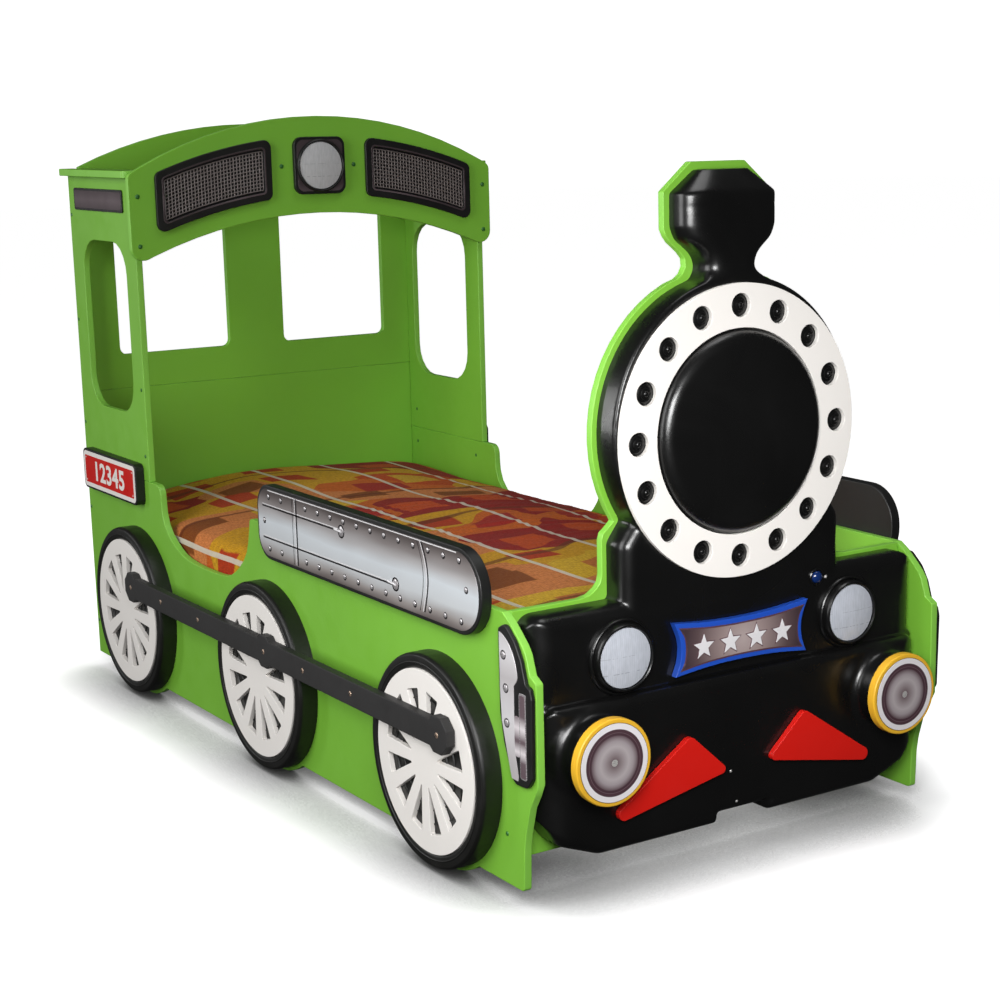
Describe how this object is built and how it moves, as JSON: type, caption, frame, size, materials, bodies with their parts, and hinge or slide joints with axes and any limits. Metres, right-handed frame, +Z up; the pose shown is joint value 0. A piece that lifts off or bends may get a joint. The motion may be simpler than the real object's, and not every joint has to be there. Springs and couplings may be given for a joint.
{
  "type": "locomotive-shaped child's bed",
  "caption": "Child's single bed shaped like a steam locomotive, with a roofless cab at the head, a moulded black smokebox front, bolted-on wheels and a lift-out mattress.",
  "frame": {"origin": "on the floor, at the middle of the bed's bounding box", "axes": "+Z up; the locomotive's front faces -Y and the cab is at +Y; X runs across, and the bed is mirror-symmetric about X = 0 but for the small blue button"},
  "size_m": [1.074, 2.147, 1.391],
  "materials": {
    "green_lacquer": "satin green lacquer on fibreboard, with a lighter sanded edge",
    "black_moulding": "glossy black vacuum-formed plastic",
    "white_board": "satin off-white lacquer on fibreboard",
    "blue_board": "satin royal blue lacquer",
    "printed_face": "printed silver sheet",
    "blue_button": "glossy translucent blue",
    "lamp_lens": "ribbed light grey lamp lens",
    "yellow_board": "satin yellow lacquer",
    "buffer_print": "printed white and plum disc",
    "red_board": "satin red lacquer",
    "black_plastic": "satin black plastic",
    "rod_black": "matt black lacquer on fibreboard",
    "black_board": "satin black lacquer on fibreboard",
    "mauve_plate": "printed mauve-grey sheet in a black frame",
    "grille_print": "woven-wire print on black",
    "slat_wood": "bare sanded slats",
    "mattress_ticking": "woven cream ticking",
    "woven_cover": "woven plaid of orange, rust, gold and crimson"
  },
  "bodies": {
    "root": {"side_panel_left": "green_lacquer", "side_panel_right": "green_lacquer", "cab_side_left": "green_lacquer", "cab_side_right": "green_lacquer", "eave_board_left": "green_lacquer", "eave_board_right": "green_lacquer", "back_panel_lower": "green_lacquer", "back_panel_upper": "green_lacquer", "cab_front_arch": "green_lacquer", "front_board": "green_lacquer", "front_shell": "black_moulding", "smokebox_ring": "white_board", "nameplate_board": "blue_board", "nameplate_face": "printed_face", "headlight_bezel_left": "black_moulding", "headlight_lens_left": "lamp_lens", "buffer_disc_left": "yellow_board", "buffer_face_left": "buffer_print", "red_plate_left": "red_board", "headlight_bezel_right": "black_moulding", "headlight_lens_right": "lamp_lens", "buffer_disc_right": "yellow_board", "buffer_face_right": "buffer_print", "red_plate_right": "red_board", "tyre_rear_left": "black_plastic", "spoke_disc_rear_left": "white_board", "tyre_middle_left": "black_plastic", "spoke_disc_middle_left": "white_board", "tyre_front_left": "black_plastic", "spoke_disc_front_left": "white_board", "coupling_rod_left": "rod_black", "tyre_rear_right": "black_plastic", "spoke_disc_rear_right": "white_board", "tyre_middle_right": "black_plastic", "spoke_disc_middle_right": "white_board", "tyre_front_right": "black_plastic", "spoke_disc_front_right": "white_board", "coupling_rod_right": "rod_black", "boiler_plate_left": "black_board", "boiler_face_left": "printed_face", "corner_trim_left": "black_board", "number_plate_left": "black_board", "badge_plate_left": "mauve_plate", "grille_frame_left": "black_plastic", "grille_mesh_left": "grille_print", "boiler_plate_right": "black_board", "boiler_face_right": "printed_face", "corner_trim_right": "black_board", "number_plate_right": "black_board", "badge_plate_right": "mauve_plate", "grille_frame_right": "black_plastic", "grille_mesh_right": "grille_print", "cab_lamp_housing": "mauve_plate", "cab_lamp_lens": "lamp_lens", "bed_rail_left": "green_lacquer", "bed_rail_right": "green_lacquer", "slat_base": "slat_wood"},
    "bedding": {"mattress": "mattress_ticking", "bed_cover": "woven_cover"},
    "push_button": {"light_button": "blue_button"}
  },
  "joints": [
    {"name": "bedding_lift", "type": "slide", "parent": "root", "child": "bedding", "axis": [0, 0, 1], "range_m": [0, 0.5]},
    {"name": "button_press", "type": "slide", "parent": "root", "child": "push_button", "axis": [0, 1, 0], "range_m": [0, 0.003], "stiffness_N_per_m": 400}
  ]
}
